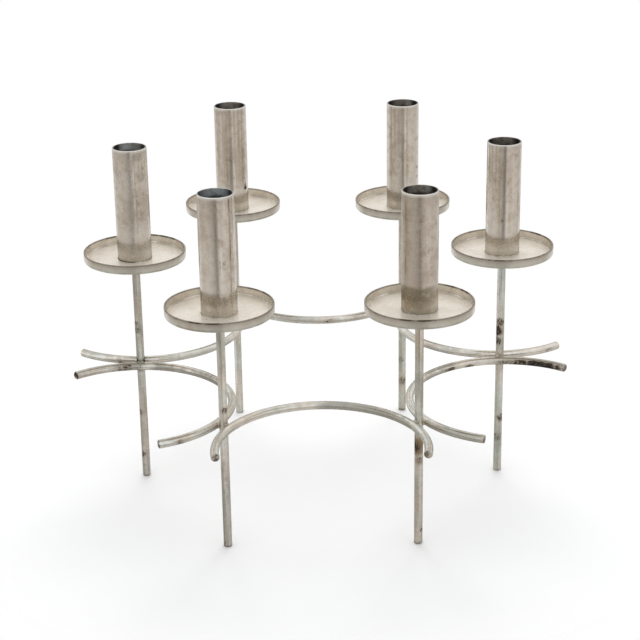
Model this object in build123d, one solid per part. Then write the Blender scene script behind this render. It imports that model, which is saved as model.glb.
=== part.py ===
from build123d import *
import os
from math import cos, radians, tan

# A free-standing candle ring in millimetres: +Z is up, the origin is on the table in the middle of the ring.
# The lights go round counter-clockwise from the right, and each arc lies between two lights.
light_names = ("right", "back_right", "back_left", "left", "front_left", "front_right")
arc_names = ("right_back", "back", "left_back", "left_front", "front", "right_front")
leg_circle_radius = 135.5

# Legs: straight rods cut square, with a turned tenon that is peened over inside the candle tube
leg_diameter = 6.0
leg_height = 177.0
leg_foot_chamfer = 0.5
tenon_diameter = 4.0
tenon_clearance = 0.05
rivet_head_diameter = 7.0
rivet_head_height = 1.8

# Arcs: rods bent to a little over half a circle, all level, each bulging towards the middle
arc_rod_diameter = 6.0
arc_centre_height = 93.5
arc_half_angle = 100.0
arc_end_chamfer = 0.5

# Braze that fills the wedge between a leg and the arc beside it
braze_gap = 0.1
braze_reach_share = 0.85

# Drip pans: sheet pressed to a flat floor with an upright rim
pan_diameter = 75.0
pan_height = 7.0
pan_sheet = 1.0
pan_bend_radius = 0.8
pan_rim_round_share = 0.4

# Candle tubes: stock tube, opened up at the mouth to take a candle
candle_diameter = 22.0
candle_clearance = 0.2
tube_mouth_wall = 1.4
tube_wall = 2.0
tube_height = 84.0
tube_edge_radius = 0.5
socket_depth = 25.0

# Candle stops: drawn caps soldered into the stock bore, level with the socket's shoulder
stop_sheet = 0.8
stop_height = 5.0
stop_bend_radius = 0.6
stop_solder_gap = 0.1

# Sizes that follow from the ones above
leg_radius = leg_diameter / 2
tenon_radius = tenon_diameter / 2
rivet_head_radius = rivet_head_diameter / 2
arc_rod_radius = arc_rod_diameter / 2
pan_radius = pan_diameter / 2
pan_hole_radius = tenon_radius + tenon_clearance
pan_floor_height = leg_height + pan_sheet
socket_radius = (candle_diameter + candle_clearance) / 2
tube_outer_radius = socket_radius + tube_mouth_wall
tube_bore_radius = tube_outer_radius - tube_wall
tube_top = pan_floor_height + tube_height
socket_floor = tube_top - socket_depth
stop_radius = tube_bore_radius - stop_solder_gap
braze_reach = braze_reach_share * min(leg_radius, arc_rod_radius)

# Each arc's circle is centred outside the ring, on the line midway between two lights.
# Its radius leaves the leg on either side exactly its own room, so a leg is held between two arcs.
light_step = 360 / len(light_names)
half_step = light_step / 2
leg_to_arc_centre = leg_circle_radius * tan(radians(half_step))
arc_centre_distance = leg_circle_radius / cos(radians(half_step))
leg_to_arc_rod = leg_radius + braze_gap + arc_rod_radius
arc_radius = leg_to_arc_centre - leg_to_arc_rod


def turned(outline):
    """Solid turned about Z from a closed outline of (radius, height) points."""
    return revolve(Plane.XZ * make_face(outline), Axis.Z)


def rounded(section, corner, radius):
    """The flat section with the corner nearest to the given point rounded."""
    return fillet(section.vertices().sort_by_distance(corner)[0], radius)


def make_leg():
    """Straight rod from the table to the pan, with the tenon's domed rivet head above the pan floor."""
    head_top = pan_floor_height + rivet_head_height
    sides = Polyline(
        (0, head_top),
        (0, 0),
        (leg_radius - leg_foot_chamfer, 0),
        (leg_radius, leg_foot_chamfer),
        (leg_radius, leg_height),
        (tenon_radius, leg_height),
        (tenon_radius, pan_floor_height),
        (rivet_head_radius, pan_floor_height),
    )
    dome = TangentArc((0, head_top), (rivet_head_radius, pan_floor_height), tangent=(1, 0))
    return turned(sides + dome)


def make_pan():
    """Round sheet pan on top of the leg, with a hole for the tenon and a rounded rim."""
    rim_height = leg_height + pan_height
    wall_inside = pan_radius - pan_sheet
    section = make_face(
        Polyline(
            (pan_hole_radius, leg_height),
            (pan_radius, leg_height),
            (pan_radius, rim_height),
            (wall_inside, rim_height),
            (wall_inside, pan_floor_height),
            (pan_hole_radius, pan_floor_height),
            close=True,
        )
    )
    section = rounded(section, (pan_radius, leg_height), pan_bend_radius + pan_sheet)
    section = rounded(section, (wall_inside, pan_floor_height), pan_bend_radius)
    section = rounded(section, (pan_radius, rim_height), pan_rim_round_share * pan_sheet)
    section = rounded(section, (wall_inside, rim_height), pan_rim_round_share * pan_sheet)
    return revolve(Plane.XZ * section, Axis.Z)


def make_tube():
    """Candle tube standing on the pan floor, with the candle socket bored into its mouth."""
    section = make_face(
        Polyline(
            (tube_bore_radius, pan_floor_height),
            (tube_outer_radius, pan_floor_height),
            (tube_outer_radius, tube_top),
            (socket_radius, tube_top),
            (socket_radius, socket_floor),
            (tube_bore_radius, socket_floor),
            close=True,
        )
    )
    section = rounded(section, (tube_outer_radius, tube_top), tube_edge_radius)
    return revolve(Plane.XZ * section, Axis.Z)


def make_stop():
    """Drawn cap inside the tube that the candle stands on."""
    skirt_inside = stop_radius - stop_sheet
    cap_inside = socket_floor - stop_sheet
    skirt_end = socket_floor - stop_height
    section = make_face(
        Polyline(
            (0, socket_floor),
            (0, cap_inside),
            (skirt_inside, cap_inside),
            (skirt_inside, skirt_end),
            (stop_radius, skirt_end),
            (stop_radius, socket_floor),
            close=True,
        )
    )
    section = rounded(section, (stop_radius, socket_floor), stop_bend_radius + stop_sheet)
    section = rounded(section, (skirt_inside, cap_inside), stop_bend_radius)
    return revolve(Plane.XZ * section, Axis.Z)


def make_arc():
    """Rod bent about Z, with its middle on the +X side and both ends cut square."""
    section = Plane.XZ * Pos(arc_radius, 0) * Circle(arc_rod_radius)
    rod = Rot(0, 0, -arc_half_angle) * revolve(section, Axis.Z, 2 * arc_half_angle)
    return chamfer(rod.faces().filter_by(GeomType.PLANE).edges(), arc_end_chamfer)


def make_braze(leg, arc, light_place, side):
    """Filler between a leg and an arc: a disc across the joint, less the two rods that it wets."""
    across = Rot(-90 * side, 0, 0)
    disc = Cylinder(braze_reach, leg_to_arc_rod, align=(Align.CENTER, Align.CENTER, Align.MIN))
    return light_place * Pos(0, 0, arc_centre_height) * across * disc - leg - arc


def place_light(index):
    """Where a light's leg stands on the ring."""
    return Rot(0, 0, index * light_step) * Pos(leg_circle_radius, 0, 0)


def place_arc(index):
    """Where an arc lies: its circle's centre is out beyond the legs and its middle points inwards."""
    turn = Rot(0, 0, index * light_step + half_step)
    return turn * Pos(arc_centre_distance, 0, arc_centre_height) * Rot(0, 0, 180)


nodes = {}
light_pieces = {
    "leg": make_leg(),
    "drip_pan": make_pan(),
    "candle_tube": make_tube(),
    "candle_stop": make_stop(),
}
arc_rod = make_arc()

for index, arc_name in enumerate(arc_names):
    nodes[f"arc_{arc_name}"] = place_arc(index) * arc_rod

for index, light_name in enumerate(light_names):
    light_place = place_light(index)
    for piece_name, piece in light_pieces.items():
        nodes[f"{piece_name}_{light_name}"] = light_place * piece
    leg = nodes[f"leg_{light_name}"]
    arc_after = nodes[f"arc_{arc_names[index]}"]
    arc_before = nodes[f"arc_{arc_names[index - 1]}"]
    nodes[f"braze_{light_name}"] = Compound(
        children=[
            make_braze(leg, arc_after, light_place, 1),
            make_braze(leg, arc_before, light_place, -1),
        ]
    )

os.makedirs("parts", exist_ok=True)
for node_name, solid in nodes.items():
    export_step(solid, f"parts/{node_name}.step")
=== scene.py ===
from math import cos, pi, radians, sin, sqrt, tan

import bmesh
import bpy
from mathutils import Matrix, Vector, noise


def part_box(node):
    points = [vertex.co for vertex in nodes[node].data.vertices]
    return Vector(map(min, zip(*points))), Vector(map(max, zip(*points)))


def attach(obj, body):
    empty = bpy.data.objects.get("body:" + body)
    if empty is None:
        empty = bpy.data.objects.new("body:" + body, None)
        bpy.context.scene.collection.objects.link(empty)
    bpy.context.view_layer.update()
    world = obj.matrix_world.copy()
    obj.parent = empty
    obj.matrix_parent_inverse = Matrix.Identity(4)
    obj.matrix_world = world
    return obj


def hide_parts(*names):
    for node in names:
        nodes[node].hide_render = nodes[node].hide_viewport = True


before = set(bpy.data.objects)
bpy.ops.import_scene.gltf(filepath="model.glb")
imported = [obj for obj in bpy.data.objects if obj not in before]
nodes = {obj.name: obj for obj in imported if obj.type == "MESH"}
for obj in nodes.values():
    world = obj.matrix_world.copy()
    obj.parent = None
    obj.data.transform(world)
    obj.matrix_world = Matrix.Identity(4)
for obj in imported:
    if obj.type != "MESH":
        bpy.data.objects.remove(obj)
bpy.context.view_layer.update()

# Lights go round counter-clockwise from the right, and each arc lies after the light of the same place
light_names = ("right", "back_right", "back_left", "left", "front_left", "front_right")
arc_names = ("right_back", "back", "left_back", "left_front", "front", "right_front")
light_step = 2 * pi / len(light_names)
millimetre = 0.001

# Camera, fitted to the feet, pans, mouths and arcs in the photo
camera_elevation = radians(21.0)
camera_turn = radians(-0.033)
camera_roll = radians(-0.891)
camera_distance = 1.3335
camera_aim = Vector((0.0003, 0, 0.126))
camera_lens_mm = 100.15
camera_sensor_mm = 36.0

# Studio: white behind and overhead, a cooler camera side, and a warm grey table with a dark patch in front.
# The table's levels go round from straight behind, by the left and the front, in degrees from the camera.
white = (1, 1, 1, 1)
front_light = (0.94, 0.97, 1.0, 1)
table_tint = (1.0, 0.955, 0.905, 1)
table_levels = (
    (-180, 1.0),
    (-140, 0.85),
    (-105, 0.62),
    (-60, 0.62),
    (-13, 0.48),
    (-5, 0.25),
    (4, 0.25),
    (14, 0.69),
    (105, 0.62),
    (140, 0.74),
    (180, 1.0),
)

# The table, in metres: the camera sees it fade to white nearer to the ring than the metal does
table_radius = 0.48
table_fade_radius = 0.3
table_sides = 96
table_colour = (0.43, 0.41, 0.385, 1)
table_white = (0.88, 0.88, 0.88, 1)
table_mirror_share = 0.42
table_seen_radius = 0.34
table_seen_fade_radius = 0.2

# Where the studio's light changes: round from the camera, and by a direction's height, 1 straight up
studio_aside = (radians(50), radians(110))
studio_behind = (radians(110), radians(150))
studio_overhead = (0.6, 0.85)
studio_horizon = (0.02, -0.1)

# One lamp behind the ring: its place and size in metres and its power in watts
key_place = Vector((0.1, 1.1, 1.35))
key_size = 1.2
key_power = 12.0

# Plating colours, as they reflect white light
tube_colour = (0.83, 0.775, 0.705, 1)
tube_tarnish = (0.60, 0.535, 0.455, 1)
tube_foot_colour = (0.80, 0.775, 0.73, 1)
# darker plate just above the pan, a painted shade
tube_foot_shade = (0.57, 0.535, 0.465, 1)
# olive of the painted reflection of the pan on the tubes' feet
olive_reflection = (0.31, 0.265, 0.185, 1)
lip_colour = (0.72, 0.685, 0.635, 1)
pan_wall_colour = (0.67, 0.62, 0.55, 1)
pan_wall_tarnish = (0.54, 0.485, 0.41, 1)
pan_wall_green = (0.65, 0.648, 0.575, 1)
pan_floor_colour = (0.765, 0.70, 0.61, 1)
pan_floor_tarnish = (0.64, 0.58, 0.49, 1)
# brown of the worn rim; also the colour of the painted shade on the outside wall and along the bend
pan_rim_brown = (0.25, 0.215, 0.17, 1)
rod_cool_tint = (0.97, 1.0, 1.0, 1)
rod_warm_tint = (1.03, 0.985, 0.955, 1)
rod_tarnish_tint = (0.69, 0.67, 0.635, 1)
# also the colour of the painted highlight lines on the tubes
bright_plate = (0.88, 0.86, 0.81, 1)
arc_plate = (0.83, 0.805, 0.75, 1)
pale_plate = (0.79, 0.77, 0.71, 1)
cool_plate = (0.79, 0.825, 0.82, 1)
warm_plate = (0.78, 0.74, 0.67, 1)
greenish_plate = (0.74, 0.745, 0.68, 1)
dull_plate = (0.73, 0.69, 0.635, 1)
# grey film; also the colour of the painted shade on one side of some legs
rod_film = (0.33, 0.315, 0.27, 1)
brown_film = (0.36, 0.28, 0.22, 1)
# colour of the painted shade towards the top of the tubes
top_shade_film = (0.34, 0.29, 0.245, 1)
seam_brown = (0.26, 0.175, 0.11, 1)
grime_colour = (0.075, 0.06, 0.042, 1)
rust_colour = (0.19, 0.135, 0.08, 1)
rust_stain = (0.27, 0.185, 0.10, 1)
bare_iron = (0.016, 0.012, 0.010, 1)
braze_colour = (0.72, 0.675, 0.60, 1)
braze_tarnish = (0.52, 0.485, 0.42, 1)
metal_edge_tint = (0.7, 0.7, 0.7, 1)
stop_colour = (0.30, 0.26, 0.20, 1)
wax_colour = (0.62, 0.58, 0.50, 1)
mouth_colour = (0.27, 0.25, 0.22, 1)
# painted shade inside the tubes: black on their sides and further down
inside_shade_black = (0.012, 0.011, 0.010, 1)
# colour of the painted highlights inside the mouths
glint_colour = (0.74, 0.74, 0.73, 1)
brown_soot = (0.40, 0.345, 0.29, 1)
pale_soot = (0.54, 0.48, 0.41, 1)
grey_soot = (0.58, 0.575, 0.55, 1)
blue_soot = (0.74, 0.80, 0.82, 1)
inside_colours = {
    "right": brown_soot,
    "back_right": brown_soot,
    "back_left": pale_soot,
    "left": grey_soot,
    "front_left": blue_soot,
    "front_right": pale_soot,
}

# Roughness, metallic levels and depths of bump
soot_roughness = 0.32
pan_wall_roughness = 0.18
pan_wall_outside_extra = 0.14
pan_floor_roughness = 0.26
rod_roughness = 0.22
rust_roughness = 0.6
filler_roughness = 0.34
stop_roughness = 0.4
soot_metallic = 0.6
dust_metallic = 0.45
rust_metallic = 0.15
plate_bump = 0.02 * millimetre
rod_bump = 0.03 * millimetre
filler_bump = 0.15 * millimetre

# Painted highlights inside the mouths, as lighter patches given as the dark spots on the tubes are
inside_glints = {
    "right": (),
    "back_right": ((62.0, 0.96, 4.5, 0.6),),
    "back_left": (),
    "left": ((112.0, 0.945, 7.0, 1.0), (70.0, 0.95, 5.0, 0.35)),
    "front_left": ((140.0, 0.965, 7.0, 0.4),),
    "front_right": ((58.0, 0.975, 4.0, 0.45),),
}

# Each tube's seam, in degrees counter-clockwise from +X seen from above,
# and how strong its dark foot, dullness, streaks, roughness and grain are
tube_marks = {
    "right": (188.0, 0.5, -0.15, 0.8, 0.14, 0.12),
    "back_right": (-12.0, 0.4, -0.3, 0.6, 0.14, 0.12),
    "back_left": (-10.0, 0.7, 0.05, 1.0, 0.14, 0.05),
    "left": (95.0, 1.0, 0.05, 0.2, 0.24, 0.2),
    "front_left": (-44.0, 0.25, 0.0, 0.7, 0.19, 0.04),
    "front_right": (217.0, 0.5, 0.2, 0.5, 0.26, 0.2),
}

# Dark spots on the tubes: direction in degrees, share of the tube's height, radius in millimetres, strength
tube_spots = {
    "right": ((285.0, 0.28, 2.0, 0.4), (262.0, 0.33, 1.6, 0.4)),
    "back_right": ((334.0, 0.4, 2.0, 0.5), (332.0, 0.31, 1.6, 0.4)),
    "back_left": ((329.0, 0.225, 2.4, 1.0), (331.0, 0.25, 2.2, 0.8)),
    "left": (
        (322.0, 0.84, 2.2, 0.35),
        (300.0, 0.95, 6.0, 0.2),
        (312.0, 0.76, 5.0, 0.22),
        (296.0, 0.62, 6.0, 0.16),
        (300.0, 0.42, 5.0, 0.2),
        (232.0, 0.8, 4.0, 0.2),
        (248.0, 0.38, 4.0, 0.18),
    ),
    "front_left": ((296.0, 0.46, 2.0, 0.5),),
    "front_right": (),
}

# Darker film on one side of a tube: middle in degrees, both ends as shares of the height, strength
tube_film_fade = 0.2
tube_films = {
    "right": (235.0, 0.5, 0.95, 0.35),
    "back_right": (225.0, 0.0, 1.2, 0.4),
    "back_left": (300.0, 0.2, 0.8, 0.35),
    "left": (300.0, 0.25, 0.7, 0.5),
    "front_left": (225.0, 0.5, 1.2, 0.4),
    "front_right": (222.0, -0.2, 1.3, 0.9),
}

# Thin bright line painted along a tube as a highlight: direction in degrees, both ends as shares of the
# height, strength
highlight_line_fade = 0.1
tube_highlight_lines = {
    "right": (278.0, 0.1, 0.55, 0.7),
    "back_right": (276.0, 0.15, 0.95, 0.7),
    "back_left": (284.0, 0.1, 0.45, 0.5),
    "left": (285.0, 0.0, 0.9, 0.8),
    "front_left": (285.0, 0.05, 0.65, 0.7),
    "front_right": (289.0, 0.4, 0.8, 0.3),
}

# Dark marks on the pans' rims, those towards the back also painted shade on the inner wall: direction in
# degrees, radius in millimetres and strength
pan_marks_and_shade = {
    "right": ((262.0, 6.0, 0.6), (40.0, 8.0, 0.7), (20.0, 8.0, 0.6)),
    "back_right": ((312.0, 2.5, 0.9),),
    "back_left": (),
    "left": ((75.0, 7.0, 0.8), (58.0, 7.0, 0.9), (45.0, 5.0, 1.0), (125.0, 6.0, 0.6)),
    "front_left": ((247.0, 7.0, 0.85), (266.0, 7.0, 0.9), (55.0, 8.0, 0.5), (30.0, 8.0, 0.5)),
    "front_right": ((252.0, 6.0, 0.8), (272.0, 7.0, 0.9), (50.0, 8.0, 0.7), (28.0, 8.0, 0.7)),
}

# Dark spots in the solder under the tubes: direction in degrees, radius in millimetres and strength
solder_dark_spots = {
    "right": ((205.0, 4.0, 0.4),),
    "back_right": (),
    "back_left": ((215.0, 5.0, 0.6),),
    "left": ((200.0, 6.0, 0.8), (228.0, 7.0, 1.0), (258.0, 6.0, 0.9), (330.0, 5.0, 0.5)),
    "front_left": ((200.0, 5.0, 0.4),),
    "front_right": ((215.0, 5.0, 0.5), (318.0, 4.0, 0.5)),
}

# Painted reflection of the pan: an olive band on each tube's foot, strongest in this direction: top as a
# share of the height, and strength
reflection_turn = 245.0
reflection_fade = 0.035
foot_reflection_bands = {
    "right": (0.19, 0.17),
    "back_right": (0.19, 0.45),
    "back_left": (0.19, 0.28),
    "left": (0.19, 0.4),
    "front_left": (0.22, 0.5),
    "front_right": (0.25, 0.82),
}

# Flaked patches on the legs: height up the leg in millimetres, direction in degrees, half length, strength
leg_flakes = {
    "right": (
        (116.0, 213.0, 6.0, 1.0),
        (123.0, 258.0, 5.0, 0.8),
        (108.0, 216.0, 5.5, 0.8),
        (45.0, 306.0, 5.0, 0.75),
        (29.0, 250.0, 5.0, 0.5),
    ),
    "left": (
        (126.0, 225.0, 4.0, 0.45),
        (121.0, 232.0, 4.0, 0.5),
        (54.0, 210.0, 3.5, 0.65),
        (19.0, 225.0, 4.0, 0.6),
    ),
    "front_left": ((106.0, 300.0, 4.0, 0.6), (3.0, 215.0, 3.0, 0.5)),
    "front_right": (
        (76.0, 192.0, 6.5, 1.0),
        (66.0, 285.0, 4.0, 0.5),
        (11.0, 320.0, 2.5, 0.6),
    ),
    "back_right": ((27.0, 265.0, 5.0, 0.5), (46.0, 235.0, 4.0, 0.5)),
    "back_left": (),
}

# Rust stains on the legs, given the same way
leg_stains = {
    "right": ((118.0, 240.0, 8.0, 0.15),),
    "left": ((54.0, 230.0, 5.0, 0.2),),
    "front_left": (),
    "front_right": ((77.0, 265.0, 11.0, 1.0), (66.0, 280.0, 5.0, 0.5)),
    "back_right": ((27.0, 265.0, 5.0, 0.25),),
    "back_left": (),
}

# Grey film on the legs: both ends in millimetres, direction where it is on one side only, and strength; a
# film on one side only is painted shade on that side
leg_films_and_side_shade = {
    "right": ((18.0, 34.0, None, 0.25),),
    "left": ((116.0, 131.0, None, 0.5), (0.0, 24.0, None, 0.25), (0.0, 175.0, 222.0, 0.5)),
    "front_left": ((30.0, 56.0, None, 0.4), (0.0, 66.0, 222.0, 0.65), (155.0, 180.0, 222.0, 0.6)),
    "front_right": ((106.0, 135.0, None, 0.4), (7.0, 15.0, None, 0.5), (0.0, 58.0, 222.0, 0.3)),
    "back_right": ((22.0, 32.0, None, 0.3), (36.0, 50.0, 222.0, 0.4)),
    "back_left": (),
}

# Plate colour of each leg below, beside and above the arcs, and the heights between which it changes
leg_plates = {
    "right": (greenish_plate, pale_plate, cool_plate),
    "back_right": (greenish_plate, dull_plate, dull_plate),
    "back_left": (bright_plate, pale_plate, warm_plate),
    "left": (dull_plate, pale_plate, dull_plate),
    "front_left": (dull_plate, bright_plate, pale_plate),
    "front_right": (warm_plate, pale_plate, warm_plate),
}
plate_changes = ((60.0, 84.0), (118.0, 146.0))

# Dirt where each leg meets its arcs, and the arcs' share of it
joint_grime = {
    "right": 0.1,
    "back_right": 0.3,
    "back_left": 0.3,
    "left": 1.4,
    "front_left": 0.18,
    "front_right": 0.15,
}
arc_grime_share = 0.75

# Flaked stretches of the arcs: both ends in degrees from the arc's middle, top in millimetres, and strength
arc_flakes = {
    "right_front": (
        (-70.0, -56.0, 1.4, 0.55),
        (-79.0, -66.0, 1.8, 0.85),
        (-96.0, -74.0, 2.0, 1.1),
        (-101.0, -92.0, 2.0, 0.8),
        (-32.0, -20.0, 0.8, 0.8),
        (-45.0, -35.0, 0.0, 0.8),
    ),
    "left_front": ((63.0, 76.0, 2.6, 0.5), (57.0, 66.0, 2.4, 0.4), (-92.0, -84.0, 1.6, 0.5)),
    "front": ((-101.0, -93.0, 1.6, 0.4), (-77.0, -68.0, 1.6, 0.4)),
    "left_back": ((-77.0, -67.0, 1.6, 0.45),),
    "right_back": ((87.0, 97.0, 1.6, 0.4),),
    "back": ((0.0, 10.0, 1.6, 0.35),),
}

# Around each of them lies a wider, taller and fainter rust stain
arc_stain_reach = 4.0
arc_stain_rise = 1.0
arc_stain_strength = 0.22

# Grey film on the arcs: both ends in degrees from the arc's middle, and strength
arc_films = {
    "right_front": ((-104.0, -54.0, 0.5), (-32.0, -1.0, 0.65), (66.0, 104.0, 0.6)),
    "left_front": ((-3.0, 54.0, 0.9), (56.0, 77.0, 0.75), (77.0, 104.0, 0.4)),
    "front": ((-64.0, 4.0, 0.75),),
    "left_back": ((-104.0, -56.0, 0.45),),
    "right_back": ((6.0, 38.0, 0.45),),
    "back": ((-40.0, 2.0, 0.35), (18.0, 32.0, 0.3)),
}

# How softly the films end and how far their ends wander, in millimetres on a leg and degrees on an arc
film_fade = 5.0
film_wander = 30.0

# Painted shade on one side of a leg fades between these shares of the leg's radius
side_shade_edge = 0.45
side_shade_core = 0.95

# How much the rods' drawn lines and grain change along the rod, as shares of the change across it
line_change_along = 0.05
grain_change_along = 0.35

# How softly the arcs' flakes end: along the arc in degrees, and upwards in millimetres
flake_fade = 4.0
flake_fade_up = 0.7

# How dark the cut ends of each arc are, clockwise end first
arc_end_grime = {
    "right_front": (0.6, 0.75),
    "left_front": (0.9, 1.0),
    "front": (0.8, 0.8),
    "left_back": (0.4, 0.4),
    "right_back": (0.4, 0.5),
    "back": (0.4, 0.4),
}

# Dirt on the cut ends and joints: radii in millimetres, reach past an arc's end in degrees, and strength
arc_end_radius = 4.2
arc_end_reach = 1.6
leg_end_radius = 4.0
leg_end_grime = 0.4
joint_dirt_radius = 8.0

# Half of each arc's sweep
arc_half_degrees = 100.0

# Sizes that come from the frame
tube_low, tube_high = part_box("candle_tube_right")
pan_low, pan_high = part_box("drip_pan_right")
arc_low, arc_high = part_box("arc_back")
ring_radius = (tube_low.x + tube_high.x) / 2
tube_radius = (tube_high.x - tube_low.x) / 2
tube_height = tube_high.z - tube_low.z
pan_floor = tube_low.z
pan_radius = (pan_high.x - pan_low.x) / 2
pan_rim = pan_high.z
rod_radius = (arc_high.z - arc_low.z) / 2
arc_height = (arc_high.z + arc_low.z) / 2
arc_radius = (arc_high.x - arc_low.x) / 2 - rod_radius
arc_centre_distance = ring_radius / cos(light_step / 2)
leg_to_arc = ring_radius * tan(light_step / 2) - arc_radius

# Braze fillets and solder seams, in metres and shares
braze_reach_share = 0.93
braze_corner_share = 0.16
braze_corners = 4
braze_hollow_share = 0.22
braze_lump_share = 0.1
braze_lump_shift = 3
filler_sink = 0.0001
seam_height = 0.0005
seam_width = 0.0004
seam_corners = 4
seam_hollow_share = 1 / 3
seam_lump_share = 0.35
seam_lump_length = 0.0036
filler_steps = 56
filler_rows = 7


def level_direction(turn):
    """Level direction, this many radians counter-clockwise from +X."""
    return Vector((cos(turn), sin(turn), 0))


def upward(height):
    return Vector((0, 0, height))


def in_millimetres(point):
    return tuple(point / millimetre)


def light_place(index):
    """Where a light's axis meets the table."""
    return ring_radius * level_direction(index * light_step)


def arc_centre(index):
    """Middle of the circle that an arc is bent to."""
    return arc_centre_distance * level_direction((index + 0.5) * light_step) + upward(arc_height)


def arc_direction(index, degrees=0.0):
    """Direction from the centre of an arc's circle, this far round from the arc's middle."""
    return level_direction((index + 0.5) * light_step + pi + radians(degrees))


def arc_place(index, degrees):
    """Point on the middle line of an arc, this far round from the arc's middle."""
    return arc_centre(index) + arc_radius * arc_direction(index, degrees)


def tube_point(light, degrees, share):
    """Point on the outside of a tube, in this direction and at this share of its height."""
    axis = light_place(light_names.index(light)) + upward(pan_floor + share * tube_height)
    return in_millimetres(axis + tube_radius * level_direction(radians(degrees)))


def tube_mark_spots(light, marks):
    """Spots on a tube, from their directions, shares of the height, radii and strengths."""
    return [(tube_point(light, turn, share), radius, strength) for turn, share, radius, strength in marks]


def solder_dark_spot_list():
    """The dark spots in the solder under all the tubes."""
    spots = []
    for light in light_names:
        for turn, radius, strength in solder_dark_spots[light]:
            spots.append((tube_point(light, turn, 0.0), radius, strength))
    return spots


def pan_mark_and_shade_spots():
    """The dark marks on all the pans' rims, those towards the back also painted shade on the inner wall."""
    spots = []
    for index, light in enumerate(light_names):
        centre = light_place(index) + upward(pan_rim)
        for turn, radius, strength in pan_marks_and_shade[light]:
            mark = centre + pan_radius * level_direction(radians(turn))
            spots.append((in_millimetres(mark), radius, strength))
    return spots


def leg_spot(foot, height, degrees, half_length, strength):
    """Spot on the outside of a leg, this many millimetres above its foot."""
    centre = foot + rod_radius * level_direction(radians(degrees)) + upward(height * millimetre)
    return in_millimetres(centre), half_length, strength


def joint_spot(light_index, share=1.0):
    """Dirt where a leg meets its two arcs."""
    centre = light_place(light_index) + upward(arc_height)
    strength = share * joint_grime[light_names[light_index]]
    return in_millimetres(centre), joint_dirt_radius, strength


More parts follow.
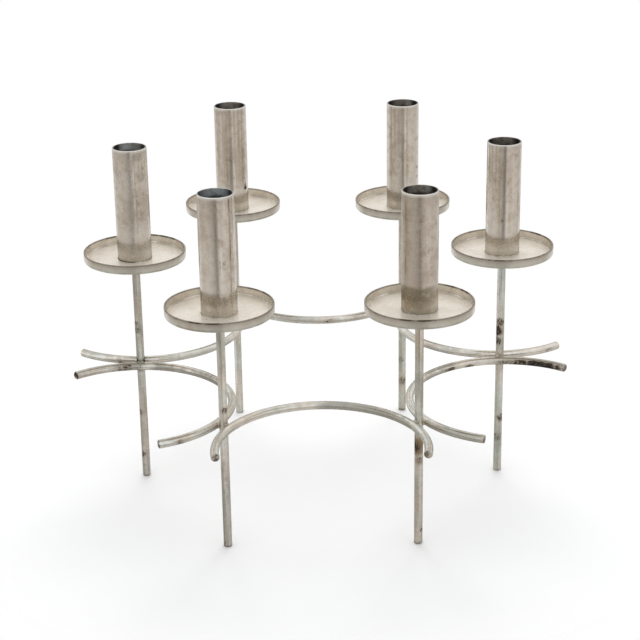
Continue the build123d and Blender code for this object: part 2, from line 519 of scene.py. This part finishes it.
class Tree:
    """A node tree that short calls fill; an input is another node's output or a plain value."""

    def __init__(self, owner):
        owner.use_nodes = True
        self.tree = owner.node_tree
        self.tree.nodes.clear()

    def add(self, kind, inputs, output=0, **settings):
        made = self.tree.nodes.new("ShaderNode" + kind)
        for name, value in settings.items():
            setattr(made, name, value)
        for key, value in inputs.items():
            if isinstance(value, bpy.types.NodeSocket):
                self.tree.links.new(value, made.inputs[key])
            else:
                made.inputs[key].default_value = value
        return made.outputs[output] if made.outputs else made

    def math(self, operation, *values):
        return self.add("Math", dict(enumerate(values)), operation=operation)

    def chain(self, operation, values):
        """All the values, joined one after another by the same operation."""
        result = values[0]
        for value in values[1:]:
            result = self.math(operation, result, value)
        return result

    def total(self, *values):
        return self.chain("ADD", values)

    def product(self, *values):
        return self.chain("MULTIPLY", values)

    def vector(self, operation, *values, output=0):
        return self.add("VectorMath", dict(enumerate(values)), output, operation=operation)

    def scaled(self, vector, scale):
        return self.vector("SCALE", vector, (0, 0, 0), (0, 0, 0), scale)

    def rise(self, value, low, high, top=1.0):
        """Goes smoothly from 0 at low to top at high."""
        inputs = {"Value": value, "From Min": low, "From Max": high, "To Max": top}
        return self.add("MapRange", inputs, interpolation_type="SMOOTHSTEP")

    def ramp(self, value, stops):
        """Goes smoothly through the given places and levels."""
        made = self.tree.nodes.new("ShaderNodeValToRGB")
        made.color_ramp.interpolation = "EASE"
        elements = made.color_ramp.elements
        elements.remove(elements[1])
        for number, (place, level) in enumerate(stops):
            element = elements.new(place) if number else elements[0]
            element.position = place
            element.color = (level, level, level, 1)
        self.tree.links.new(value, made.inputs[0])
        return made.outputs[0]

    def blend(self, share, first, second):
        return self.add("Mix", {0: share, 6: first, 7: second}, 2, data_type="RGBA")

    def tinted(self, colour, tint):
        return self.add("Mix", {0: 1.0, 6: colour, 7: tint}, 2, data_type="RGBA", blend_type="MULTIPLY")

    def between(self, share, first, second):
        return self.add("Mix", {0: share, 2: first, 3: second}, data_type="FLOAT")

    def split(self, vector):
        made = self.tree.nodes.new("ShaderNodeSeparateXYZ")
        self.tree.links.new(vector, made.inputs[0])
        return made.outputs

    def light_path(self):
        return self.tree.nodes.new("ShaderNodeLightPath").outputs

    def millimetres(self):
        """The point on the surface, in millimetres in the part's frame."""
        return self.scaled(self.add("TexCoord", {}, "Object"), 1 / millimetre)

    def noise(self, place, size, detail=2.0, roughness=0.5, stretch=None):
        """Noise whose features are about this many millimetres wide, drawn out by the stretch."""
        if stretch:
            place = self.vector("DIVIDE", place, stretch)
        inputs = {"Vector": place, "Scale": 1 / size, "Detail": detail, "Roughness": roughness}
        return self.add("TexNoise", inputs, "Fac")

    def near(self, place, spots, inner_share=0.35):
        """Strongest of several round spots, each given as centre and radius in millimetres, and strength."""
        strongest = 0.0
        for centre, radius, strength in spots:
            gone = self.vector("DISTANCE", place, centre, output="Value")
            spot = self.rise(gone, radius, radius * inner_share, strength)
            strongest = self.math("MAXIMUM", strongest, spot)
        return strongest

    def stretch(self, run, low, high, fade, strength):
        """One stretch of a rod or a tube, soft at both ends."""
        return self.product(self.rise(run, low, low + fade), self.rise(run, high, high - fade), strength)

    def patches(self, run, height, patches):
        """Strongest of several patches on an arc, each given as both ends, top and strength."""
        strongest = 0.0
        for low, high, top, strength in patches:
            below = self.rise(height, top + flake_fade_up, top - flake_fade_up, strength)
            strongest = self.math("MAXIMUM", strongest, self.stretch(run, low, high, flake_fade, below))
        return strongest

    def local(self):
        """How far out the point lies, 1 at the piece's outside, how far up, from 0 to 1, and its place."""
        place = self.add("TexCoord", {}, "Generated")
        centred = self.vector("MULTIPLY_ADD", place, (2, 2, 0), (-1, -1, 0))
        return self.vector("LENGTH", centred, output="Value"), self.split(place)[2], centred

    def along(self, centred, degrees):
        """How far the point lies in this direction from the piece's own axis, 1 at its outside."""
        return self.vector("DOT_PRODUCT", centred, level_direction(radians(degrees)), output="Value")

    def metal(self, colour, roughness, metallic, height, depth, edge_tint=white):
        bump = self.add("Bump", {"Height": height, "Distance": depth, "Strength": 1.0})
        inputs = {
            "Base Color": colour,
            "Metallic": metallic,
            "Roughness": roughness,
            "Specular Tint": edge_tint,
            "Normal": bump,
        }
        shader = self.add("BsdfPrincipled", inputs)
        self.add("OutputMaterial", {"Surface": shader})


def new_material(name):
    material = bpy.data.materials.new(name)
    return material, Tree(material)


def tube_line(tree, centred, wander, turn, edge, core):
    """A thin line along a tube in this direction, which fades from its core to its edge."""
    aside = tree.math("ABSOLUTE", tree.math("ADD", tree.along(centred, turn + 90), wander))
    this_side = tree.rise(tree.along(centred, turn), 0.4, 0.6)
    return tree.math("MULTIPLY", tree.rise(aside, edge, core), this_side)


def tube_foot_reflection(tree, light, place, up, centred):
    """How strong the painted reflection of the pan, an olive band on the foot of a tube, is."""
    top, strength = foot_reflection_bands[light]
    facing = tree.rise(tree.along(centred, reflection_turn), -0.1, 0.8)
    return tree.product(
        tree.rise(tree.noise(place, 4.5), 0.2, 0.58, strength),
        tree.between(facing, 0.15, 1.0),
        tree.between(tree.rise(up, 0.08, 0.14), 0.75, 1.0),
        tree.rise(up, top, top - reflection_fade),
    )


def tube_inside_soot_and_shade(tree, light, place, up, centred, mottle):
    """Colour of a tube's inside: sooty, with painted shade that turns it black further down and on its two
    sides, and painted highlights as a few lighter patches.
    """
    soot_and_shade = tree.blend(tree.rise(up, 0.93, 0.975, 0.35), inside_colours[light], mouth_colour)
    soot_and_shade = tree.blend(tree.rise(mottle, 0.42, 0.7, 0.6), soot_and_shade, grime_colour)
    # painted shade: the inside turns black on the two sides facing +X and -X
    painted_side_shade = tree.rise(tree.math("ABSOLUTE", tree.along(centred, 0.0)), 0.4, 0.78, 0.92)
    soot_and_shade = tree.blend(painted_side_shade, soot_and_shade, inside_shade_black)
    # painted highlights: lighter patches inside the mouth
    glints = tree.near(place, tube_mark_spots(light, inside_glints[light]), 0.2)
    soot_and_shade = tree.blend(glints, soot_and_shade, glint_colour)
    # painted shade: black further down inside the tube
    return tree.blend(tree.rise(up, 0.95, 0.93, 0.7), soot_and_shade, inside_shade_black)


def plated_tube(light):
    """Satin plate on a seamed tube: streaks, smudges, a brown seam, a bright lip and a sooty inside, with
    painted shade towards the top and just above the pan, a painted olive reflection of the pan on the foot,
    a painted highlight line, and painted shade and highlights inside.
    """
    material, tree = new_material(f"plated_tube_{light}")
    place = tree.millimetres()
    out, up, centred = tree.local()
    bands = tree.noise(place, 3.5, stretch=(1, 1, 30))
    streaks = tree.noise(place, 1.6, stretch=(1, 1, 24))
    mottle = tree.noise(place, 4.5)
    clouds = tree.noise(place, 14.0)
    smudges = tree.noise(place, 7.0, 3.0, 0.55)
    grain = tree.noise(place, 1.3, 2.0, 0.6)
    specks = tree.rise(tree.noise(place, 1.2, 1.0, 0.4), 0.75, 0.82, 0.5)
    seam_turn, foot_strength, dullness, streaked, satin, grained = tube_marks[light]
    above_foot = tree.rise(up, 0.14, 0.36)

    film_turn, film_low, film_high, film_strength = tube_films[light]
    film = tree.stretch(up, film_low, film_high, tube_film_fade, film_strength)
    film = tree.math("MULTIPLY", film, tree.rise(tree.along(centred, film_turn), 0.2, 0.9))
    tarnish = tree.total(
        tree.rise(bands, 0.4, 0.68, 0.5 * streaked),
        tree.rise(mottle, 0.42, 0.7, 0.6),
        tree.rise(clouds, 0.45, 0.7, 0.3),
        tree.rise(streaks, 0.4, 0.7, 0.3 * streaked),
        dullness,
    )
    tarnish = tree.math("MULTIPLY_ADD", tarnish, above_foot, film)
    plate = tree.blend(tree.rise(up, 0.1, 0.22), tube_foot_colour, tube_colour)
    colour = tree.blend(tarnish, plate, tube_tarnish)
    smudge = tree.total(
        tree.rise(tree.math("MULTIPLY_ADD", film, 0.08, smudges), 0.56, 0.78, 0.4),
        tree.rise(grain, 0.35, 0.65, grained),
    )
    colour = tree.blend(tree.math("MULTIPLY", smudge, above_foot), colour, brown_film)
    # painted shade: the plate darkens towards the top of the tube
    darkened_top = tree.total(tree.rise(up, 0.62, 0.95, 0.1), tree.rise(up, 0.92, 0.965, 0.13))
    colour = tree.blend(darkened_top, colour, top_shade_film)

    wander = tree.math("MULTIPLY_ADD", tree.noise(place, 9.0), 0.06, -0.03)
    seam = tree.product(
        tube_line(tree, centred, wander, seam_turn, 0.1, 0.0),
        tree.rise(tree.noise(place, 5.0, stretch=(1, 1, 3)), 0.42, 0.64, 0.65),
    )
    colour = tree.blend(seam, colour, seam_brown)
    # painted highlight: a thin bright line along the tube
    highlight_turn, highlight_low, highlight_high, highlight_strength = tube_highlight_lines[light]
    highlight_line = tree.product(
        tube_line(tree, centred, wander, highlight_turn, 0.06, 0.01),
        tree.stretch(up, highlight_low, highlight_high, highlight_line_fade, highlight_strength),
        tree.rise(tree.noise(place, 3.0, stretch=(1, 1, 4)), 0.4, 0.56),
    )
    colour = tree.blend(highlight_line, colour, bright_plate)
    spots = tree.near(place, tube_mark_spots(light, tube_spots[light]), 0.5)
    spots = tree.math("MULTIPLY", spots, tree.rise(mottle, 0.3, 0.5))
    colour = tree.blend(tree.math("MAXIMUM", spots, specks), colour, grime_colour)

    # painted shade: the plate turns darker just above the pan
    colour = tree.blend(tree.rise(up, 0.07, 0.01, 0.95), colour, tube_foot_shade)
    # painted reflection: the pan shows as an olive band on the tube's foot
    colour = tree.blend(tube_foot_reflection(tree, light, place, up, centred), colour, olive_reflection)
    foot_edge = tree.math("MULTIPLY_ADD", mottle, 0.03, 0.002)
    colour = tree.blend(tree.rise(up, foot_edge, 0.0, foot_strength), colour, grime_colour)
    colour = tree.blend(tree.rise(up, 0.974, 0.984), colour, lip_colour)
    inside = tree.rise(out, 0.96, 0.935)
    colour = tree.blend(inside, colour, tube_inside_soot_and_shade(tree, light, place, up, centred, mottle))

    rough = tree.total(
        tree.rise(mottle, 0.35, 0.7, 0.1),
        tree.rise(streaks, 0.4, 0.7, 0.06),
        tree.between(inside, satin, soot_roughness),
    )
    dents = tree.math("MULTIPLY", tree.noise(place, 8.0, 1.0), 3.0)
    height = tree.math("MULTIPLY_ADD", streaks, 0.2, dents)
    height = tree.math("SUBTRACT", height, tree.math("MULTIPLY", seam, 0.5))
    tree.metal(colour, rough, tree.between(inside, 1.0, soot_metallic), height, plate_bump, metal_edge_tint)
    return material


def plated_pan():
    """Satin plate on sheet: a dusty floor, greener lower outside walls, painted shade along the bend, on the
    upper outside wall and in a line low on it, a dark worn rim, and dark marks, those towards the back also
    painted shade on the inner wall.
    """
    material, tree = new_material("plated_pan")
    place = tree.millimetres()
    out, up, _ = tree.local()
    mottle = tree.noise(place, 4.0, 2.5)
    clouds = tree.noise(place, 13.0, 3.0)
    specks = tree.rise(tree.noise(place, 0.9, 1.0, 0.4), 0.76, 0.82, 0.45)
    near_floor = tree.rise(up, 0.3, 0.2)
    floor = tree.math("MULTIPLY", tree.rise(out, 0.975, 0.955), near_floor)
    outside = tree.rise(out, 0.98, 0.995)

    tarnish = tree.total(tree.rise(mottle, 0.42, 0.72, 0.45), tree.rise(clouds, 0.42, 0.7, 0.5))
    plate = tree.blend(floor, pan_wall_colour, pan_floor_colour)
    low_wall = tree.math("MULTIPLY", outside, tree.rise(up, 0.75, 0.25, 0.8))
    plate = tree.blend(low_wall, plate, pan_wall_green)
    colour = tree.blend(tarnish, plate, tree.blend(floor, pan_wall_tarnish, pan_floor_tarnish))

    # painted shade: darker along the bend between floor and wall, dimming its highlight
    bend = tree.product(tree.rise(out, 0.945, 0.955), near_floor, tree.rise(clouds, 0.4, 0.62, 0.5))
    colour = tree.blend(bend, colour, pan_rim_brown)
    # painted shade on the outside wall: darker towards the rim, and a darker line low on the wall near its
    # bottom bend
    low_shade_line = tree.math("MULTIPLY", tree.rise(up, 0.02, 0.14), tree.rise(up, 0.3, 0.18, 0.2))
    shade = tree.math("ADD", low_shade_line, tree.rise(up, 0.4, 0.95, 0.4))
    colour = tree.blend(tree.math("MULTIPLY", outside, shade), colour, pan_rim_brown)
    rim = tree.rise(up, 0.83, 0.91, 0.75)
    colour = tree.blend(rim, colour, pan_rim_brown)
    dashes = tree.math("MULTIPLY", rim, tree.rise(mottle, 0.52, 0.68, 0.65))
    # dark marks; those towards the back are painted shade darkening the top of the inner wall
    marks = tree.math("MULTIPLY", tree.near(place, pan_mark_and_shade_spots()), tree.rise(up, 0.8, 0.92))
    colour = tree.blend(tree.total(dashes, specks, marks), colour, grime_colour)

    rough = tree.total(
        tree.rise(clouds, 0.35, 0.7, 0.08),
        tree.rise(rim, 0.0, 1.0, 0.2),
        tree.between(floor, pan_wall_roughness, pan_floor_roughness),
        tree.math("MULTIPLY", outside, pan_wall_outside_extra),
    )
    height = tree.math("MULTIPLY_ADD", mottle, 0.3, tree.math("MULTIPLY", clouds, 3.0))
    tree.metal(colour, rough, tree.between(floor, 1.0, dust_metallic), height, plate_bump)
    return material


def plated_rod(name, plates, flakes, stains, films, ends, joints, foot=None, bend=None):
    """Worn plate on a straight or bent rod: grey film, ragged flakes, dark cut ends and dirty joints, and on
    legs painted shade down one side.
    """
    material, tree = new_material(name)
    place = tree.millimetres()
    if bend:
        bend_centre, middle, tangent = bend
        level = tree.vector("MULTIPLY", tree.vector("SUBTRACT", place, bend_centre), (1, 1, 0))
        across = tree.vector("LENGTH", level, output="Value")
        section = tree.add("CombineXYZ", {0: across, 1: tree.split(place)[2]})
        sideways = tree.vector("DOT_PRODUCT", level, tangent, output="Value")
        inwards = tree.vector("DOT_PRODUCT", level, middle, output="Value")
        run = tree.math("DEGREES", tree.math("ARCTAN2", sideways, inwards))
        above_middle = tree.math("SUBTRACT", tree.split(place)[2], bend_centre[2])
        flaked = tree.patches(run, above_middle, flakes)
        stained = tree.patches(run, above_middle, stains)
    else:
        section = tree.vector("MULTIPLY", tree.vector("SUBTRACT", place, foot), (1, 1, 0))
        run = tree.split(place)[2]
        flaked = tree.near(place, flakes)
        stained = tree.near(place, stains)
    drawn = tree.vector("ADD", section, tree.scaled(place, line_change_along))
    lines = tree.noise(drawn, 2.6, 3.0, 0.55)
    mottle = tree.noise(place, 4.0)
    clouds = tree.noise(place, 11.0)
    drawn = tree.vector("ADD", section, tree.scaled(place, grain_change_along))
    grain = tree.noise(drawn, 0.8, 3.0, 0.6)
    hue = tree.rise(tree.noise(place, 24.0), 0.4, 0.6)
    specks = tree.rise(tree.noise(place, 1.2, 1.0, 0.4), 0.75, 0.82, 0.5)

    tarnish = tree.total(
        tree.rise(mottle, 0.4, 0.7, 0.25),
        tree.rise(clouds, 0.4, 0.7, 0.35),
        tree.rise(lines, 0.36, 0.62, 0.75),
    )
    plate = plates[0]
    for (low, high), next_plate in zip(plate_changes, plates[1:]):
        plate = tree.blend(tree.rise(run, low, high), plate, next_plate)
    plate = tree.tinted(plate, tree.blend(hue, rod_cool_tint, rod_warm_tint))
    colour = tree.blend(tarnish, plate, tree.tinted(plate, rod_tarnish_tint))

    film = 0.0
    wander = tree.math("MULTIPLY_ADD", lines, film_wander, -film_wander / 2)
    worn_run = tree.math("ADD", run, wander)
    for low, high, direction, strength in films:
        stretch = tree.stretch(worn_run, low, high, film_fade, strength)
        # painted shade: a film given a direction darkens only that side of the leg
        if direction is not None:
            reach = rod_radius / millimetre
            facing = tree.along(section, direction)
            facing = tree.rise(facing, side_shade_edge * reach, side_shade_core * reach)
            stretch = tree.math("MULTIPLY", stretch, facing)
        film = tree.math("MAXIMUM", film, stretch)
    broken = tree.rise(tree.math("MULTIPLY_ADD", mottle, 0.4, lines), 0.45, 0.7)
    colour = tree.blend(tree.math("MULTIPLY", film, broken), colour, rod_film)
    colour = tree.blend(specks, colour, grime_colour)
    dirt = tree.math("MAXIMUM", tree.near(place, ends, 0.8), tree.near(place, joints))
    dirt = tree.math("MULTIPLY", dirt, tree.rise(mottle, 0.3, 0.56))
    colour = tree.blend(dirt, colour, grime_colour)

    stained = tree.math("MULTIPLY", stained, tree.rise(grain, 0.2, 0.5))
    colour = tree.blend(stained, colour, rust_stain)
    colour = tree.blend(tree.math("MULTIPLY", flaked, 0.45), colour, grime_colour)
    ragged = tree.math("MULTIPLY_ADD", mottle, 0.15, tree.math("MULTIPLY", grain, 0.85))
    edge = tree.math("MULTIPLY_ADD", flaked, 0.3, ragged)
    rust = tree.rise(edge, 0.65, 0.71)
    colour = tree.blend(rust, colour, rust_colour)
    colour = tree.blend(tree.rise(edge, 0.7, 0.78), colour, bare_iron)

    rough = tree.total(
        tree.rise(mottle, 0.35, 0.7, 0.12),
        tree.between(rust, rod_roughness, rust_roughness),
    )
    height = tree.math("MULTIPLY_ADD", clouds, 1.5, tree.math("MULTIPLY", lines, 0.3))
    height = tree.math("SUBTRACT", height, tree.math("MULTIPLY", rust, 1.5))
    tree.metal(colour, rough, tree.between(rust, 1.0, rust_metallic), height, rod_bump, metal_edge_tint)
    return material


def filler_metal():
    """Uneven filler, plated over: warm grey with dark pits and brown flux stains."""
    material, tree = new_material("braze_filler")
    place = tree.millimetres()
    mottle = tree.noise(place, 1.1, 4.0, 0.6)
    pits = tree.rise(tree.noise(place, 0.6), 0.54, 0.66, 0.6)
    stain = tree.rise(tree.noise(place, 4.0), 0.46, 0.66, 0.45)
    colour = tree.blend(tree.rise(mottle, 0.4, 0.7), braze_colour, braze_tarnish)
    colour = tree.blend(stain, colour, seam_brown)
    # darker spots in the solder under the tubes
    dirt = tree.near(place, solder_dark_spot_list())
    colour = tree.blend(tree.math("MAXIMUM", pits, dirt), colour, grime_colour)
    rough = tree.total(tree.rise(mottle, 0.35, 0.7, 0.2), filler_roughness)
    tree.metal(colour, rough, 1.0, mottle, filler_bump)
    return material


def stop_metal():
    """Dull tarnished cap with a film of old wax."""
    material, tree = new_material("candle_stop")
    place = tree.millimetres()
    mottle = tree.noise(place, 1.6, 4.0, 0.6)
    wax = tree.rise(tree.noise(place, 6.0, 3.0), 0.5, 0.62, 0.8)
    colour = tree.blend(tree.rise(mottle, 0.35, 0.7), stop_colour, grime_colour)
    colour = tree.blend(wax, colour, wax_colour)
    rough = tree.total(tree.rise(mottle, 0.35, 0.7, 0.2), stop_roughness)
    height = tree.math("ADD", mottle, wax)
    tree.metal(colour, rough, tree.between(wax, 1.0, 0.0), height, filler_bump)
    return material


def dress(node, material):
    """Gives a node of the frame its finish."""
    mesh = nodes[node].data
    mesh.materials.clear()
    mesh.materials.append(material)


def loft(rings, caps=None):
    """Mesh over rings of points, closed by two end points, or without them into a loop."""
    points = [point for ring in rings for point in ring]
    count = len(rings[0])
    rows = len(rings) - 1 if caps else len(rings)
    faces = []
    for row in range(rows):
        low, high = row * count, (row + 1) % len(rings) * count
        for step in range(count):
            after = (step + 1) % count
            faces.append((low + step, low + after, high + after, high + step))
    if caps:
        first, last, top = len(points), len(points) + 1, rows * count
        points.extend(caps)
        for step in range(count):
            after = (step + 1) % count
            faces.append((after, step, first))
            faces.append((top + step, top + after, last))
    return points, faces


def new_object(name, data):
    """An object in the scene, at the origin."""
    made = bpy.data.objects.new(name, data)
    bpy.context.scene.collection.objects.link(made)
    return made


def new_piece(name, parts, material):
    """One smooth mesh of several closed parts, riding on the whole."""
    points, faces = [], []
    for part_points, part_faces in parts:
        start = len(points)
        points.extend(part_points)
        faces.extend(tuple(start + corner for corner in face) for face in part_faces)
    mesh = bpy.data.meshes.new(name)
    mesh.from_pydata(points, [], faces)
    shape = bmesh.new()
    shape.from_mesh(mesh)
    bmesh.ops.recalc_face_normals(shape, faces=shape.faces)
    shape.to_mesh(mesh)
    shape.free()
    mesh.polygons.foreach_set("use_smooth", [True] * len(mesh.polygons))
    mesh.materials.append(material)
    piece = new_object(name, mesh)
    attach(piece, "root")
    return piece


def fillet_part(light_index, side):
    """Hollow-faced filler in the wedge between a leg and one of the arcs that cross it."""
    axis = light_place(light_index) + upward(arc_height)
    outward = level_direction(light_index * light_step)
    normal = Vector((-outward.y, outward.x, 0)) * side
    upright = upward(1)
    rings = [[] for _ in range(filler_rows + 1)]
    for step in range(filler_steps):
        turn = 2 * pi * step / filler_steps
        toward = upright * cos(turn) + outward * sin(turn)
        lump = noise.noise((axis + toward * rod_radius) / rod_radius + normal * braze_lump_shift)
        reach = rod_radius * braze_reach_share * (1 - braze_corner_share * cos(braze_corners * turn))
        reach *= 1 + braze_lump_share * lump
        near = sqrt(max(rod_radius**2 - (reach * sin(turn)) ** 2, 0)) - filler_sink
        far = leg_to_arc - sqrt(max(rod_radius**2 - (reach * cos(turn)) ** 2, 0)) + filler_sink
        for row in range(filler_rows + 1):
            share = row / filler_rows
            hollow = 1 - braze_hollow_share * sin(pi * share)
            rings[row].append(axis + toward * reach * hollow + normal * (near + (far - near) * share))
    caps = (axis + normal * (rod_radius / 2), axis + normal * (leg_to_arc - rod_radius / 2))
    return loft(rings, caps)


def make_braze(light_index, material):
    """The two fillets that hold one leg between its arcs."""
    light = light_names[light_index]
    parts = [fillet_part(light_index, side) for side in (1, -1)]
    piece = new_piece(f"braze_fillets_{light}", parts, material)
    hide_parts(f"braze_{light}")


def make_solder_seam(light_index, material):
    """Thin uneven ring of solder where a tube stands on its pan."""
    light = light_names[light_index]
    foot = light_place(light_index) + upward(pan_floor)
    rings = [[] for _ in range(seam_corners)]
    for step in range(2 * filler_steps):
        toward = level_direction(pi * step / filler_steps)
        lump = 1 + seam_lump_share * noise.noise((foot + toward * tube_radius) / seam_lump_length)
        width, height = seam_width * lump, seam_height * lump
        outline = (
            (-filler_sink, -filler_sink),
            (width, -filler_sink),
            (width * seam_hollow_share, height * seam_hollow_share),
            (-filler_sink, height),
        )
        for ring, (reach, rise) in zip(rings, outline):
            ring.append(foot + toward * (tube_radius + reach) + upward(rise))
    new_piece(f"solder_seam_{light}", [loft(rings)], material)


def make_camera():
    """Camera at the photo's viewing angle, with its small roll."""
    level = level_direction(camera_turn)
    behind = Vector((sin(camera_turn), -cos(camera_turn), 0))
    back = behind * cos(camera_elevation) + upward(sin(camera_elevation))
    upright = back.cross(level)
    right = level * cos(camera_roll) + upright * sin(camera_roll)
    up = upright * cos(camera_roll) - level * sin(camera_roll)
    camera = new_object("camera", bpy.data.cameras.new("camera"))
    turned = Matrix((right, up, back)).transposed().to_4x4()
    camera.matrix_world = Matrix.Translation(camera_aim + back * camera_distance) @ turned
    camera.data.lens = camera_lens_mm
    camera.data.sensor_width = camera_sensor_mm
    bpy.context.scene.camera = camera


def make_world():
    """White studio, cooler on the camera side, with the wide table's warm grey below the horizon."""
    world = bpy.data.worlds.new("studio")
    bpy.context.scene.world = world
    tree = Tree(world)
    x, y, z = tree.split(tree.vector("NORMALIZE", tree.add("TexCoord", {}, "Generated")))
    turn = tree.math("ARCTAN2", x, tree.math("MULTIPLY", y, -1))
    aside = tree.math("ABSOLUTE", turn)
    stops = [(degrees / 360 + 0.5, level) for degrees, level in table_levels]
    level = tree.ramp(tree.math("MULTIPLY_ADD", turn, 1 / (2 * pi), 0.5), stops)
    behind = tree.rise(aside, *studio_behind)
    below = tree.vector("MULTIPLY", tree.blend(behind, table_tint, white), level)
    above = tree.blend(tree.rise(aside, *studio_aside), front_light, white)
    above = tree.blend(tree.rise(z, *studio_overhead), above, white)
    light = tree.blend(tree.rise(z, *studio_horizon), above, below)
    path = tree.light_path()
    mirrored = tree.math("MULTIPLY", path["Is Glossy Ray"], behind)
    seen = tree.math("MAXIMUM", path["Is Camera Ray"], path["Is Transmission Ray"])
    seen = tree.math("MAXIMUM", seen, mirrored)
    background = tree.add("Background", {"Color": tree.blend(seen, light, white), "Strength": 1.0})
    tree.add("OutputWorld", {"Surface": background})


def make_table():
    """Round table that shows white, keeps the shadow and fades into the white surroundings."""
    points = [(0, 0, 0)]
    for step in range(table_sides):
        points.append(table_radius * level_direction(2 * pi * step / table_sides))
    faces = [(0, step + 1, (step + 1) % table_sides + 1) for step in range(table_sides)]
    mesh = bpy.data.meshes.new("table")
    mesh.from_pydata(points, [], faces)
    table = new_object("table", mesh)
    material, tree = new_material("table")
    gone = tree.vector("LENGTH", tree.add("TexCoord", {}, "Object"), output="Value")
    path = tree.light_path()
    edge = tree.between(path["Is Camera Ray"], table_radius, table_seen_radius)
    fade = tree.between(path["Is Camera Ray"], table_fade_radius, table_seen_fade_radius)
    kept = tree.rise(gone, edge, fade)
    seen = tree.math("MAXIMUM", path["Is Camera Ray"], path["Is Transmission Ray"])
    seen = tree.math("MULTIPLY_ADD", path["Is Glossy Ray"], table_mirror_share, seen)
    shade = tree.add("BsdfDiffuse", {"Color": tree.blend(seen, table_colour, table_white)})
    faded = tree.add("MixShader", {0: kept, 1: tree.add("BsdfTransparent", {}), 2: shade})
    tree.add("OutputMaterial", {"Surface": faded})
    mesh.materials.append(material)


def make_key():
    """One broad soft lamp, high behind the ring, that no metal mirrors."""
    lamp = bpy.data.lights.new("key", "AREA")
    lamp.size = key_size
    lamp.energy = key_power
    key = new_object("key", lamp)
    key.location = key_place
    key.rotation_mode = "QUATERNION"
    key.rotation_quaternion = (-key_place).to_track_quat("-Z", "Y")
    key.visible_glossy = False


def leg_finish(index):
    """Finish of one leg, with its flakes, its foot and the dirt where it meets two arcs."""
    light = light_names[index]
    foot = light_place(index)
    return plated_rod(
        f"plated_leg_{light}",
        leg_plates[light],
        [leg_spot(foot, *flake) for flake in leg_flakes[light]],
        [leg_spot(foot, *stain) for stain in leg_stains[light]],
        leg_films_and_side_shade[light],
        [(in_millimetres(foot), leg_end_radius, leg_end_grime)],
        [joint_spot(index)],
        foot=in_millimetres(foot),
    )


def arc_finish(index):
    """Finish of one arc, with its flakes, its two cut ends and the dirt where it meets two legs."""
    arc = arc_names[index]
    stains = []
    for low, high, top, strength in arc_flakes[arc]:
        faint = arc_stain_strength * strength
        stains.append((low - arc_stain_reach, high + arc_stain_reach, top + arc_stain_rise, faint))
    ends = []
    for side, strength in zip((-1, 1), arc_end_grime[arc]):
        end = arc_place(index, side * (arc_half_degrees + arc_end_reach))
        ends.append((in_millimetres(end), arc_end_radius, strength))
    neighbours = (index, (index + 1) % len(light_names))
    middle = arc_direction(index)
    return plated_rod(
        f"plated_arc_{arc}",
        (arc_plate,),
        arc_flakes[arc],
        stains,
        [(low, high, None, strength) for low, high, strength in arc_films[arc]],
        ends,
        [joint_spot(neighbour, arc_grime_share) for neighbour in neighbours],
        bend=(in_millimetres(arc_centre(index)), tuple(middle), (-middle.y, middle.x, 0)),
    )


make_camera()
make_world()
make_table()
make_key()

pan_material = plated_pan()
filler_material = filler_metal()
stop_material = stop_metal()
for index, light in enumerate(light_names):
    dress(f"leg_{light}", leg_finish(index))
    dress(f"drip_pan_{light}", pan_material)
    dress(f"candle_tube_{light}", plated_tube(light))
    dress(f"candle_stop_{light}", stop_material)
    make_braze(index, filler_material)
    make_solder_seam(index, filler_material)

for index, arc in enumerate(arc_names):
    dress(f"arc_{arc}", arc_finish(index))

bpy.context.scene.view_settings.view_transform = "Standard"
